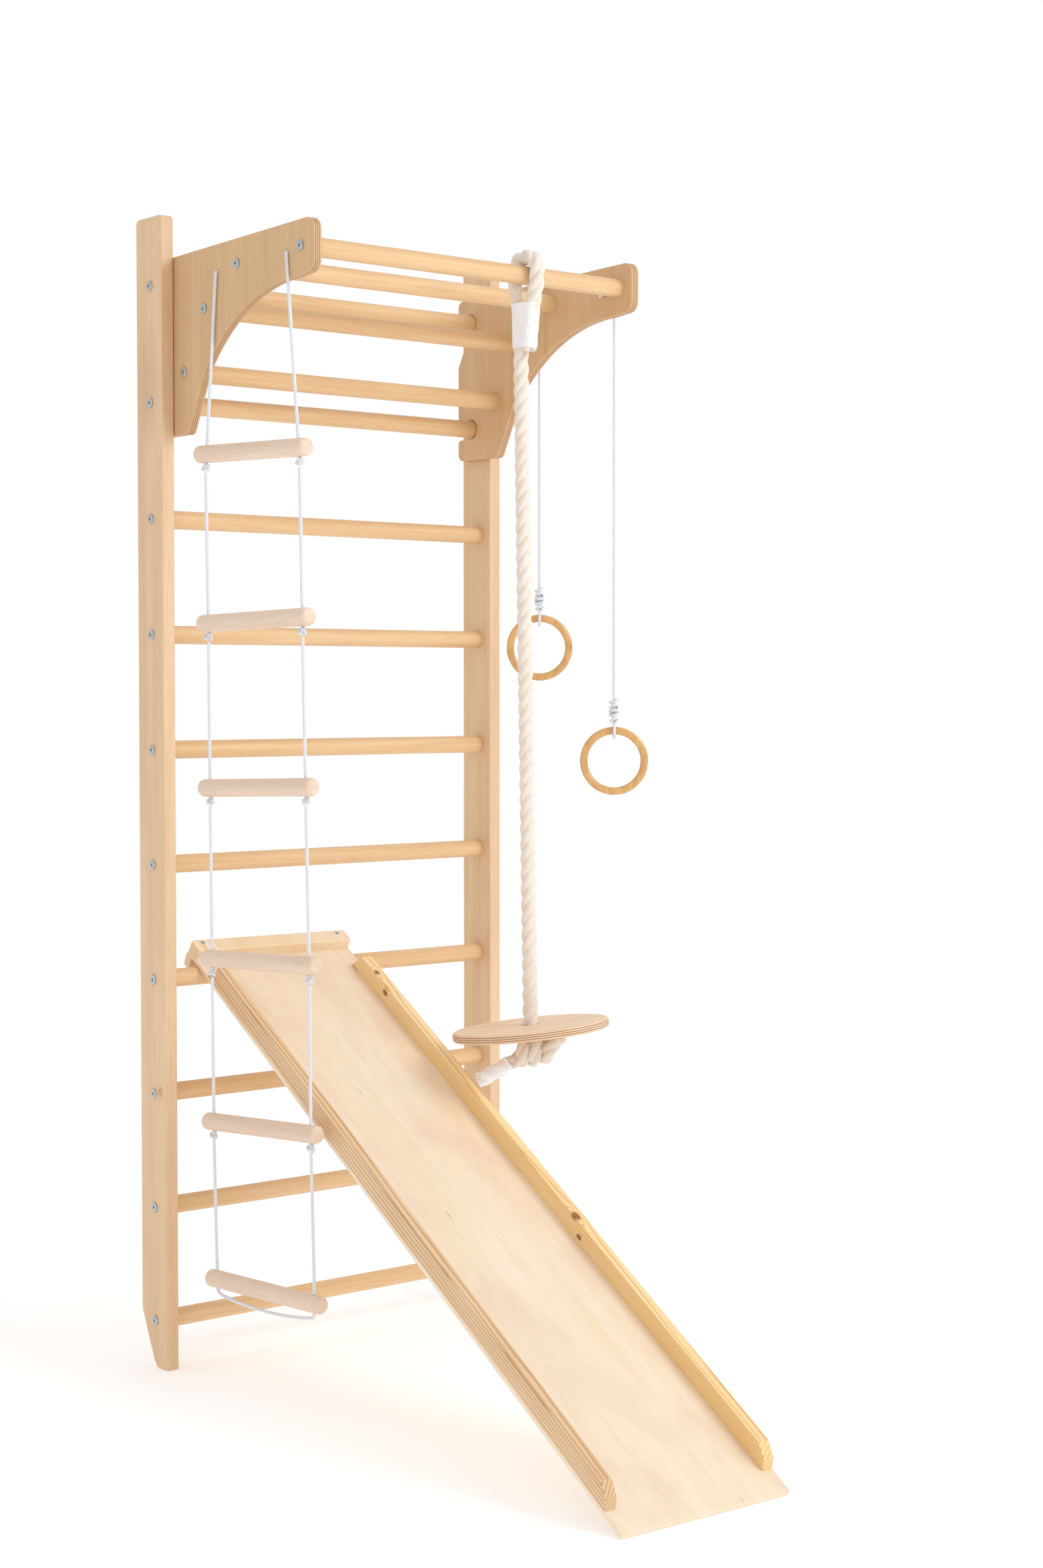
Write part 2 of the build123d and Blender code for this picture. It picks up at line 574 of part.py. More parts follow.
def make_slide():
    frame, top_z = slide_frame()
    slope = radians(SLIDE_SLOPE)
    floor_gap = 0.3
    length = (top_z - SLIDE_BOARD_THICKNESS * cos(slope) - floor_gap) / sin(slope)
    print(f"slide board length {length:.0f} mm")
    rail_end = length - RAIL_END_GAP

    cleat_screw = wood_screw(5.0, 2.2, 48)
    cleat_hole = wood_screw_hole(5.0, 2.2, 48)
    cleat_spots = [Pos(x, -11, CLEAT_HEIGHT) for x in (22, SLIDE_WIDTH - 22)]
    rail_screw = wood_screw(4.0, 1.9, 34)
    rail_hole = wood_screw_hole(4.0, 1.9, 34)
    rail_spots = []
    for x in (RAIL_THICKNESS / 2, SLIDE_WIDTH - RAIL_THICKNESS / 2):
        for step in range(5):
            along = RAIL_START + 40 + step * (rail_end - RAIL_START - 100) / 4
            rail_spots.append(Pos(x, -along, -SLIDE_BOARD_THICKNESS) * Rot(180, 0, 0))
    holes = [spot * cleat_hole for spot in cleat_spots] + [spot * rail_hole for spot in rail_spots]

    board = Box(SLIDE_WIDTH, length, SLIDE_BOARD_THICKNESS, align=(Align.MIN, Align.MAX, Align.MAX))
    board = fillet(board.edges().filter_by(Axis.Z), 5)
    board = fillet(board.edges().group_by(Axis.Z)[-1], 1.5)
    save("slide_board", frame * drill(board, *holes))

    profile = Polyline(
        (0, -RAIL_START, 0),
        (0, -RAIL_START - 22, RAIL_HEIGHT),
        (0, -rail_end + RAIL_END_SLANT, RAIL_HEIGHT),
        (0, -rail_end + 8, RAIL_HEIGHT * 0.55),
        (0, -rail_end, 0),
        close=True,
    )
    rail = extrude(make_face(profile), amount=RAIL_THICKNESS, dir=(1, 0, 0))
    rail = fillet(rail.edges().filter_by(Axis.X).group_by(Axis.Z)[-1], 9)
    upper = [e for e in rail.faces().filter_by(Axis.X).edges() if e.center().Z > 1]
    rail = fillet(upper, 2.5)
    for x, name in ((0, "left"), (SLIDE_WIDTH - RAIL_THICKNESS, "right")):
        save(f"slide_rail_{name}", frame * drill(Pos(x, 0, 0) * rail, *holes))

    cleat = Box(SLIDE_WIDTH, CLEAT_DEPTH, CLEAT_HEIGHT, align=(Align.MIN, Align.MAX, Align.MIN))
    cleat = fillet(cleat.edges().filter_by(Axis.Z), 7)
    cleat = fillet(cleat.edges().group_by(Axis.Z)[-1], 3)
    save("slide_top_cleat", frame * drill(cleat, *holes))

    hook = Box(SLIDE_WIDTH, HOOK_CLEAT_DEPTH, HOOK_CLEAT_HEIGHT, align=(Align.MIN, Align.MAX, Align.MAX))
    hook = Pos(0, 0, -SLIDE_BOARD_THICKNESS) * hook
    hook = fillet(hook.edges().filter_by(Axis.X).group_by(Axis.Z)[0], 4)
    save("slide_hook_cleat", frame * drill(hook, *holes))

    save("slide_cleat_screws", *[frame * spot * cleat_screw for spot in cleat_spots])
    save("slide_rail_screws", *[frame * spot * rail_screw for spot in rail_spots])


os.makedirs("parts", exist_ok=True)
make_wall_bars()
make_pull_up_frame()
make_rope_ladder()
make_rings()
make_climbing_rope()
make_disc_seat()
make_slide()
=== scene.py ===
# %% [markdown]
# # Wooden wall bars with a rope ladder, a climbing rope, rings and a slide
# The real thing is a home gym: two posts with ten rungs, a plywood pull-up frame that hooks over the top
# rung, and toys that hang from it. The engineering model gives every piece its place, so this lesson loads
# it as a fixed frame first, and then gives the wood, the rope and the steel their real looks.

# %% Load the frame
import bpy
import bmesh
import math
from mathutils import Euler, Matrix, Vector


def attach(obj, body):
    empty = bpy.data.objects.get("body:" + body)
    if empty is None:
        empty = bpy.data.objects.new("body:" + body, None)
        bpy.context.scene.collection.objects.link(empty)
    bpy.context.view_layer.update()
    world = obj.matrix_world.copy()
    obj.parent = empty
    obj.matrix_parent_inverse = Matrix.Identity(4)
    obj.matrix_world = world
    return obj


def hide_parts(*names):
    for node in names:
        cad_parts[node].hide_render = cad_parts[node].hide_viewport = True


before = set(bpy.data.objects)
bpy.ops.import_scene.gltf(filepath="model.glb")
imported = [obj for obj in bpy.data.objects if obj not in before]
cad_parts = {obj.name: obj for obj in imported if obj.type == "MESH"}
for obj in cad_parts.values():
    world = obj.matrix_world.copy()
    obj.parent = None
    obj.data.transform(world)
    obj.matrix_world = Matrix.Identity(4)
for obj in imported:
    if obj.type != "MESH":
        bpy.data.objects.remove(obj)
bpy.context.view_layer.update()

# %% [markdown]
# ## Camera
# The camera stands in front and to the left, a little above the middle of the posts, so that the outside of
# the left post and the whole slide show. A long lens keeps the posts nearly parallel.

# %% Camera
CAMERA_PLACE = (-2.8688, -4.1625, 1.307)
CAMERA_TURN = math.radians(39.34)
CAMERA_DIP = math.radians(2.2)
CAMERA_LENS = 56.96
SENSOR_WIDTH = 36
FAR_LIMIT = 100

bpy.ops.object.select_all(action="DESELECT")
bpy.ops.object.camera_add(location=CAMERA_PLACE, rotation=(math.pi / 2 - CAMERA_DIP, 0, -CAMERA_TURN))
camera = bpy.context.object
camera.name = "camera"
camera.data.lens = CAMERA_LENS
camera.data.sensor_width = SENSOR_WIDTH
camera.data.clip_end = FAR_LIMIT
bpy.context.scene.camera = camera
print("camera at", CAMERA_PLACE)

# %% [markdown]
# ## Floor and light
# A catalogue shot has a white floor that melts into a white background. The sky gives most of the light
# from all sides. One big soft lamp in front makes the fronts of the posts brighter than their outer sides,
# and it leaves a faint shadow under the slide.

# %% Floor and light
FLOOR_SIZE, FLOOR_DROP = 40, 0.0005
bpy.ops.mesh.primitive_plane_add(size=FLOOR_SIZE, location=(0, 0, -FLOOR_DROP))
floor = bpy.context.object
floor.name = "floor"

world = bpy.data.worlds.new("white_room")
world.use_nodes = True
SKY_LIGHT = 0.84
world.node_tree.nodes["Background"].inputs["Color"].default_value = (1, 1, 1, 1)
seen = world.node_tree.nodes.new("ShaderNodeLightPath").outputs["Is Camera Ray"]
strength = world.node_tree.nodes.new("ShaderNodeMapRange")
strength.inputs["To Min"].default_value = SKY_LIGHT
strength.inputs["To Max"].default_value = 1.0
world.node_tree.links.new(seen, strength.inputs["Value"])
world.node_tree.links.new(strength.outputs[0], world.node_tree.nodes["Background"].inputs["Strength"])
bpy.context.scene.world = world
bpy.context.scene.view_settings.view_transform = "Standard"


def soft_lamp(name, place, target, size, watts):
    """A square area lamp that points at a target."""
    turn = (Vector(target) - Vector(place)).to_track_quat("-Z", "Y").to_euler()
    bpy.ops.object.light_add(type="AREA", location=place, rotation=turn)
    lamp = bpy.context.object
    lamp.name = name
    lamp.data.size = size
    lamp.data.energy = watts
    return lamp


LAMP_PLACE, LAMP_TARGET = (1.6, -4.2, 3.6), (0, -0.4, 1.0)
LAMP_SIZE, LAMP_WATTS = 2.2, 72
soft_lamp("front_lamp", LAMP_PLACE, LAMP_TARGET, LAMP_SIZE, LAMP_WATTS)

# %% [markdown]
# ## Shader helpers
# Every finish below is a small network of nodes, and a few helpers keep them readable: they make a colour
# from the usual 0 to 255 values, add a node and fill its sockets, blend two colours, and turn a pattern
# into fine relief.


# %% Shader helpers
def paint(red, green, blue):
    """A colour from 0 to 255 screen values, as the linear numbers that shaders use."""
    linear = []
    for screen in (red, green, blue):
        share = screen / 255
        linear.append(share / 12.92 if screen <= 10 else ((share + 0.055) / 1.055) ** 2.4)
    return (*linear, 1)


def add(tree, kind, sockets=None, **settings):
    """Adds a node, sets its settings, then fills its sockets with values or links."""
    node = tree.nodes.new("ShaderNode" + kind)
    for key, value in settings.items():
        setattr(node, key, value)
    for key, value in (sockets or {}).items():
        if isinstance(value, bpy.types.NodeSocket):
            tree.links.new(value, node.inputs[key])
        else:
            node.inputs[key].default_value = value
    return node


def maths(tree, operation, a, b=0.0):
    return add(tree, "Math", {0: a, 1: b}, operation=operation).outputs[0]


def blend(tree, amount, first, second):
    """first where amount is 0, second where it is 1."""
    return add(tree, "Mix", {0: amount, 6: first, 7: second}, data_type="RGBA").outputs[2]


def steps(tree, value, *stops):
    """A colour ramp with (place, colour) stops."""
    node = add(tree, "ValToRGB", {0: value})
    ramp = node.color_ramp
    while len(ramp.elements) < len(stops):
        ramp.elements.new(0.5)
    for element, (place, colour) in zip(ramp.elements, stops):
        element.position = place
        element.color = colour if not isinstance(colour, (int, float)) else (colour, colour, colour, 1)
    return node.outputs[0]


def noise(tree, where, scale, detail=3.0, rough=0.5, twist=0.0):
    sockets = {"Vector": where, "Scale": scale, "Detail": detail, "Roughness": rough, "Distortion": twist}
    return add(tree, "TexNoise", sockets).outputs[0]


def stretch(tree, where, size):
    """Object coordinates multiplied by a size along each axis."""
    return add(tree, "Mapping", {"Vector": where, "Scale": size}).outputs[0]


def reach_from(tree, where, place, scale):
    """The distance from a place, with each axis counted by its scale."""
    gap = add(tree, "VectorMath", {0: where, 1: place}, operation="SUBTRACT").outputs[0]
    gap = add(tree, "VectorMath", {0: gap, 1: scale}, operation="MULTIPLY").outputs[0]
    return add(tree, "VectorMath", {0: gap}, operation="LENGTH").outputs[1]


def finish_material(name):
    """A new material: its tree and its surface shader."""
    made = bpy.data.materials.new(name)
    made.use_nodes = True
    return made, made.node_tree, made.node_tree.nodes["Principled BSDF"]


def emboss(tree, shader, height, distance, strength=1.0):
    bump = add(tree, "Bump", {"Height": height, "Distance": distance, "Strength": strength})
    tree.links.new(bump.outputs[0], shader.inputs["Normal"])


def dress(node_name, material):
    """Gives a piece of the frame its finish."""
    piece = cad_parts[node_name]
    piece.data.materials.clear()
    piece.data.materials.append(material)


print("helpers ready")

# %% [markdown]
# ## Beech: posts, rungs and bars
# Beech is a pale, even wood. Up close it has long soft bands of colour and thousands of short darker
# flecks, all running the length of the piece. Both are noise that is squeezed across the grain and
# stretched along it, so each direction of grain gets its own material. The lacquer is satin, not glossy.


# %% Beech
def along(axis, lengthwise, crosswise):
    """A scale for each axis: small along the grain, large across it."""
    return tuple(lengthwise if index == axis else crosswise for index in range(3))


MARK_RINGS = 16.0


def beech(name, axis, pale, deep, fleck, fleck_amount=0.35, marks=()):
    """marks are dark places: (x, y, z), size along and across the grain, strength, ring contrast."""
    made, tree, shader = finish_material(name)
    where = add(tree, "TexCoord").outputs["Object"]
    bands = noise(tree, stretch(tree, where, along(axis, 1.3, 34)), 1.0, 4, 0.55, 0.6)
    clouds = noise(tree, stretch(tree, where, along(axis, 2.0, 9)), 1.0, 2, 0.5, 0.3)
    fibres = noise(tree, stretch(tree, where, along(axis, 14, 900)), 1.0, 2, 0.6)
    flecks = noise(tree, stretch(tree, where, along(axis, 130, 1500)), 1.0, 1, 0.5)
    colour = steps(tree, bands, (0.32, pale), (0.70, deep))
    colour = blend(tree, steps(tree, clouds, (0.35, 0.0), (0.75, 0.55)), colour, deep)
    colour = blend(tree, steps(tree, fibres, (0.45, 0.0), (0.75, 0.28)), colour, fleck)
    colour = blend(tree, steps(tree, flecks, (0.62, 0.0), (0.72, fleck_amount)), colour, fleck)
    for place, length, width, strength, contrast in marks:
        reach = reach_from(tree, where, place, along(axis, 1 / length, 1 / width))
        reach = maths(tree, "ADD", reach, maths(tree, "MULTIPLY", clouds, 0.5))
        rings = maths(tree, "SINE", maths(tree, "MULTIPLY", reach, MARK_RINGS))
        rings = maths(tree, "ADD", 1.0 - contrast, maths(tree, "MULTIPLY", rings, contrast))
        shade = maths(tree, "MULTIPLY", steps(tree, reach, (0.35, strength), (1.0, 0.0)), rings)
        colour = blend(tree, shade, colour, fleck)
    tree.links.new(colour, shader.inputs["Base Color"])
    tree.links.new(steps(tree, fibres, (0.3, 0.40), (0.8, 0.52)), shader.inputs["Roughness"])
    emboss(tree, shader, fibres, 0.0003, 0.12)
    return made


LENGTHWISE_X, LENGTHWISE_Y, LENGTHWISE_Z = 0, 1, 2
POST_PALE, POST_DEEP, POST_FLECK = paint(236, 205, 168), paint(220, 183, 143), paint(178, 132, 92)
BAR_PALE, BAR_DEEP, BAR_FLECK = paint(238, 205, 160), paint(220, 178, 128), paint(180, 130, 84)
STEP_PALE, STEP_DEEP, STEP_FLECK = paint(240, 218, 198), paint(226, 198, 174), paint(188, 152, 126)

post_wood = beech("post_beech", LENGTHWISE_Z, POST_PALE, POST_DEEP, POST_FLECK)
bar_wood = beech("bar_beech", LENGTHWISE_X, BAR_PALE, BAR_DEEP, BAR_FLECK)
step_wood = beech("ladder_step_beech", LENGTHWISE_Y, STEP_PALE, STEP_DEEP, STEP_FLECK, 0.25)

KNOT_MARK = ((-0.410, -0.072, 0.535), 0.020, 0.015, 0.9, 0.3)
BROWN_PATCH = ((-0.410, -0.045, 1.885), 0.17, 0.06, 0.30, 0.0)
dress("left_post", beech("left_post_beech", LENGTHWISE_Z, POST_PALE, POST_DEEP, POST_FLECK,
                         marks=[KNOT_MARK, BROWN_PATCH]))
dress("right_post", post_wood)
RUNG_COUNT, STEP_COUNT = 10, 6
BARS = ["grip_bar_front", "grip_bar_middle", "frame_bar_upper", "frame_bar_lower"]
for name in [f"rung_{number}" for number in range(1, RUNG_COUNT + 1)] + BARS:
    dress(name, bar_wood)
for number in range(1, STEP_COUNT + 1):
    dress(f"ladder_rung_{number}", step_wood)
print("beech on", 2 + RUNG_COUNT + len(BARS) + STEP_COUNT, "pieces")

# %% [markdown]
# ## Birch plywood: panels and disc
# Plywood is a stack of thin sheets. Seen from the face it is one calm veneer, and seen from the edge it is
# a row of stripes, because every second sheet shows its dark end grain. One material can do both when the
# colour depends on the depth inside the board: the two outer sheets are veneer, and the inner ones
# alternate.


# %% Birch plywood
def plywood(name, depth_of, grain_scale, thickness, sheets, pale, deep, edge_dark):
    """depth_of turns Object coordinates into the place and the depth in metres from the first face."""
    made, tree, shader = finish_material(name)
    where, depth = depth_of(tree, add(tree, "TexCoord").outputs["Object"])
    bands = noise(tree, stretch(tree, where, grain_scale), 1.0, 4, 0.6, 0.8)
    fine = noise(tree, stretch(tree, where, tuple(s * 14 for s in grain_scale)), 1.0, 3, 0.6)
    face = steps(tree, bands, (0.30, pale), (0.72, deep))
    face = blend(tree, steps(tree, fine, (0.52, 0.0), (0.80, 0.22)), face, edge_dark)
    wave = maths(tree, "SINE", maths(tree, "MULTIPLY", depth, math.tau * sheets / 2 / thickness))
    rough_edge = noise(tree, stretch(tree, where, (90, 90, 90)), 1.0, 3, 0.6)
    stripe = steps(tree, maths(tree, "ADD", wave, maths(tree, "MULTIPLY", rough_edge, 0.25)),
                   (0.15, 0.0), (0.35, 1.0))
    skin = thickness / sheets * 0.8
    inside = maths(tree, "MULTIPLY", maths(tree, "GREATER_THAN", depth, skin),
                   maths(tree, "LESS_THAN", depth, thickness - skin))
    stripe = maths(tree, "MULTIPLY", stripe, inside)
    edge = blend(tree, rough_edge, edge_dark, blend(tree, 0.25, edge_dark, deep))
    colour = blend(tree, stripe, face, edge)
    tree.links.new(colour, shader.inputs["Base Color"])
    tree.links.new(steps(tree, fine, (0.3, 0.42), (0.8, 0.55)), shader.inputs["Roughness"])
    emboss(tree, shader, fine, 0.0003, 0.12)
    return made


PANEL_THICKNESS = 0.018
PANEL_INNER_X = 0.364
SHEETS = 9
PANEL_PALE, PANEL_DEEP = paint(218, 181, 136), paint(206, 166, 120)
DISC_PALE, DISC_DEEP = paint(244, 217, 186), paint(231, 198, 162)
EDGE_DARK = paint(146, 98, 60)


def panel_depth(first_face):
    def depth_of(tree, where):
        x = add(tree, "SeparateXYZ", {0: where}).outputs[0]
        return where, maths(tree, "SUBTRACT", x, first_face)
    return depth_of


GRAIN_UP = (40, 40, 1.6)
for side, first_face in (("left", -PANEL_INNER_X - PANEL_THICKNESS), ("right", PANEL_INNER_X)):
    board = plywood(f"{side}_panel_plywood", panel_depth(first_face), GRAIN_UP, PANEL_THICKNESS, SHEETS,
                    PANEL_PALE, PANEL_DEEP, EDGE_DARK)
    dress(f"{side}_panel", board)

DISC_CENTRE = (0.132, -0.52925, 0.658)
DISC_TILT = Matrix.Rotation(math.radians(-5.4), 3, "X") @ Matrix.Rotation(math.radians(-3.4), 3, "Y")
DISC_TURN = tuple(DISC_TILT.to_euler())
GRAIN_ACROSS = (4, 50, 50)


def disc_depth(tree, where):
    placing = {"Vector": where, "Location": DISC_CENTRE, "Rotation": DISC_TURN}
    local = add(tree, "Mapping", placing, vector_type="TEXTURE").outputs[0]
    z = add(tree, "SeparateXYZ", {0: local}).outputs[2]
    return local, maths(tree, "ADD", z, PANEL_THICKNESS / 2)


dress("disc_seat", plywood("disc_plywood", disc_depth, GRAIN_ACROSS, PANEL_THICKNESS, SHEETS,
                           DISC_PALE, DISC_DEEP, EDGE_DARK))
print("plywood on the panels and the disc")

# %% [markdown]
# ## Slide: birch board and pine rails
# The slide lies at a slope and a little askew, so its grain has to turn with it. A Mapping node undoes the
# slope and the turn, and the patterns are then made in the slide's own straight coordinates. The board is a
# very pale veneer with blotches and a few dark flecks. Pine is louder: wide golden rings of late wood, and
# knots.

# %% Slide coordinates
SLIDE_SLOPE = math.radians(30.7)
SLIDE_TURN = math.radians(-2.2)
SLIDE_CORNER = (-0.314, -0.0189, 0.7993)


def slide_space(tree, where):
    """x across the slide, -y down it and z out of its face, in metres from the board's top left corner."""
    placing = {"Vector": where, "Location": SLIDE_CORNER, "Rotation": (SLIDE_SLOPE, 0, SLIDE_TURN)}
    return add(tree, "Mapping", placing, vector_type="TEXTURE").outputs[0]


# %% Slide board
def board_finish():
    made, tree, shader = finish_material("slide_birch")
    where = slide_space(tree, add(tree, "TexCoord").outputs["Object"])
    bands = noise(tree, stretch(tree, where, (22, 1.4, 22)), 1.0, 5, 0.6, 1.2)
    blotch = noise(tree, stretch(tree, where, (7, 4, 7)), 1.0, 3, 0.55, 0.8)
    fibres = noise(tree, stretch(tree, where, (700, 12, 700)), 1.0, 2, 0.6)
    flecks = noise(tree, stretch(tree, where, (160, 9, 160)), 1.0, 1, 0.4, 0.5)
    pale, warm, pink = paint(245, 229, 207), paint(240, 217, 184), paint(233, 207, 184)
    colour = steps(tree, bands, (0.35, pale), (0.72, warm))
    colour = blend(tree, steps(tree, blotch, (0.48, 0.0), (0.70, 0.65)), colour, pink)
    colour = blend(tree, steps(tree, fibres, (0.5, 0.0), (0.8, 0.25)), colour, paint(216, 180, 140))
    colour = blend(tree, steps(tree, flecks, (0.765, 0.0), (0.80, 0.75)), colour, paint(150, 112, 84))
    tree.links.new(colour, shader.inputs["Base Color"])
    shader.inputs["Roughness"].default_value = 0.38
    emboss(tree, shader, fibres, 0.0002, 0.10)
    return made


dress("slide_board", board_finish())


# %% [markdown]
# ## Pine
# The rings come from the distance to the tree's heart, which lies just outside each board. The distance is
# bent by noise so that the lines wander, and a knot pushes the rings aside round a dark eye.


# %% Pine
KNOT_STRETCH = (1, 0.62, 1)
RING_WANDER, KNOT_PUSH = 0.018, 0.010


def pine(name, heart, ring_width, tones, knots=()):
    """heart is (x, z) of the tree's middle in the slide's space; knots are (x, y, z, radius) there."""
    made, tree, shader = finish_material(name)
    where = slide_space(tree, add(tree, "TexCoord").outputs["Object"])
    axes = add(tree, "SeparateXYZ", {0: where})
    wander = noise(tree, stretch(tree, where, (12, 1.1, 12)), 1.0, 3, 0.5)
    across = maths(tree, "SUBTRACT", axes.outputs[0], heart[0])
    up = maths(tree, "SUBTRACT", axes.outputs[2], heart[1])
    square = maths(tree, "ADD", maths(tree, "POWER", across, 2.0), maths(tree, "POWER", up, 2.0))
    distance = maths(tree, "SQRT", square)
    distance = maths(tree, "ADD", distance, maths(tree, "MULTIPLY", wander, RING_WANDER))
    eyes = None
    for x, y, z, radius in knots:
        length = reach_from(tree, where, (x, y, z), KNOT_STRETCH)
        spread = maths(tree, "ADD", maths(tree, "MULTIPLY", length, length), 1e-5)
        near = maths(tree, "MINIMUM", maths(tree, "DIVIDE", radius * radius, spread), 1.0)
        distance = maths(tree, "ADD", distance, maths(tree, "MULTIPLY", near, KNOT_PUSH))
        eye = steps(tree, maths(tree, "DIVIDE", length, radius), (0.55, 1.0), (1.05, 0.0))
        eyes = eye if eyes is None else maths(tree, "MAXIMUM", eyes, eye)
    ring = maths(tree, "FRACT", maths(tree, "DIVIDE", distance, ring_width))
    late = steps(tree, ring, (0.0, 0.0), (0.55, 0.12), (0.86, 0.85), (0.97, 1.0), (1.0, 0.0))
    clouds = noise(tree, stretch(tree, where, (16, 2, 16)), 1.0, 3, 0.5)
    fibres = noise(tree, stretch(tree, where, (800, 14, 800)), 1.0, 2, 0.6)
    pale, gold, late_wood = tones
    colour = steps(tree, clouds, (0.35, pale), (0.70, gold))
    colour = blend(tree, maths(tree, "MULTIPLY", late, 0.8), colour, late_wood)
    colour = blend(tree, steps(tree, fibres, (0.5, 0.0), (0.8, 0.25)), colour, late_wood)
    if eyes is not None:
        colour = blend(tree, eyes, colour, paint(158, 96, 48))
    tree.links.new(colour, shader.inputs["Base Color"])
    shader.inputs["Roughness"].default_value = 0.42
    emboss(tree, shader, fibres, 0.0003, 0.12)
    return made


YELLOW_PINE = (paint(253, 227, 176), paint(246, 208, 146), paint(220, 162, 92))
# Pine tones for the left rail, duller, pinker and darker than the right rail's: painted shade for its outer
# side, which faces away from the lamp.
SHADE_DULLED_PINE = (paint(240, 210, 172), paint(226, 188, 142), paint(180, 128, 80))
PALE_PINE = (paint(250, 232, 204), paint(244, 216, 176), paint(224, 184, 132))
RIGHT_RAIL_KNOTS = ((0.336, -0.165, 0.034, 0.006), (0.332, -0.215, 0.022, 0.007),
                    (0.336, -0.905, 0.034, 0.009), (0.331, -0.935, 0.012, 0.006))
dress("slide_rail_left", pine("left_rail_pine", (0.05, -0.03), 0.0050, SHADE_DULLED_PINE))
dress("slide_rail_right", pine("right_rail_pine", (0.37, -0.05), 0.0048, YELLOW_PINE, RIGHT_RAIL_KNOTS))
crosswise = pine("cleat_pine", (0.0, -0.05), 0.0060, PALE_PINE)
dress("slide_top_cleat", crosswise)
dress("slide_hook_cleat", crosswise)
print("slide dressed")

# %% [markdown]
# ## Rings, steel and cord finishes
# The hand rings are wood under a thick golden varnish, so they shine. The screws are zinc-plated steel. The
# thin cords are braided from white polyester, and the climbing rope is soft unbleached cotton.


# %% Varnished rings
def ring_finish():
    made, tree, shader = finish_material("ring_varnish")
    where = add(tree, "TexCoord").outputs["Object"]
    bands = noise(tree, stretch(tree, where, (60, 60, 12)), 1.0, 4, 0.6, 1.0)
    fibres = noise(tree, stretch(tree, where, (420, 420, 60)), 1.0, 2, 0.6)
    colour = steps(tree, bands, (0.30, paint(228, 182, 116)), (0.70, paint(200, 148, 84)))
    colour = blend(tree, steps(tree, fibres, (0.5, 0.0), (0.8, 0.4)), colour, paint(156, 106, 54))
    tree.links.new(colour, shader.inputs["Base Color"])
    shader.inputs["Roughness"].default_value = 0.28
    shader.inputs["Coat Weight"].default_value = 0.5
    shader.inputs["Coat Roughness"].default_value = 0.12
    emboss(tree, shader, fibres, 0.0002, 0.1)
    return made


ring_varnish = ring_finish()
dress("ring_rear", ring_varnish)
dress("ring_front", ring_varnish)


# %% Zinc-plated steel
def zinc_finish():
    made, tree, shader = finish_material("zinc_plate")
    where = add(tree, "TexCoord").outputs["Object"]
    stain = noise(tree, stretch(tree, where, (260, 260, 260)), 1.0, 3, 0.6)
    tree.links.new(steps(tree, stain, (0.3, paint(206, 210, 212)), (0.7, paint(168, 174, 178))),
                   shader.inputs["Base Color"])
    shader.inputs["Metallic"].default_value = 1.0
    tree.links.new(steps(tree, stain, (0.3, 0.24), (0.7, 0.40)), shader.inputs["Roughness"])
    emboss(tree, shader, stain, 0.0002, 0.15)
    return made


zinc = zinc_finish()
for name in ("rung_screws_left", "rung_screws_right", "panel_screws_left", "panel_screws_right",
             "wall_hanger_plates", "wall_hanger_screws", "slide_cleat_screws", "slide_rail_screws"):
    dress(name, zinc)
print("zinc on the screws and plates")

# %% Cord, rope and tape finishes
BRAID_STEP, BRAID_TURNS = 0.008, 4


def cord_finish():
    """White braid: two sets of slanted threads over the cord's own map, coloured bluish grey and darker in
    the braid's valleys as painted shade.
    """
    made, tree, shader = finish_material("white_braid")
    spots = add(tree, "TexCoord").outputs["UV"]
    where = add(tree, "TexCoord").outputs["Object"]
    slant = add(tree, "SeparateXYZ", {0: spots})
    turn = maths(tree, "MULTIPLY", slant.outputs[1], math.tau * BRAID_TURNS)
    place = add(tree, "SeparateXYZ", {0: where})
    run = maths(tree, "ADD", place.outputs[1], place.outputs[2])
    run = maths(tree, "MULTIPLY", run, math.tau / BRAID_STEP)
    left = maths(tree, "SINE", maths(tree, "ADD", run, turn))
    right = maths(tree, "SINE", maths(tree, "SUBTRACT", run, turn))
    braid = maths(tree, "MULTIPLY", left, right)
    soft = noise(tree, where, 900, 2)
    # Painted shade: the white cord is coloured bluish grey, and darker where the braid is low.
    shade = steps(tree, maths(tree, "ADD", maths(tree, "MULTIPLY", braid, 0.35), soft),
                  (0.15, paint(204, 207, 216)), (0.55, paint(236, 238, 243)))
    tree.links.new(shade, shader.inputs["Base Color"])
    shader.inputs["Roughness"].default_value = 0.6
    shader.inputs["Sheen Weight"].default_value = 0.3
    emboss(tree, shader, braid, 0.0006, 0.5)
    return made


YARNS_ROUND, YARNS_ALONG = 11, 210


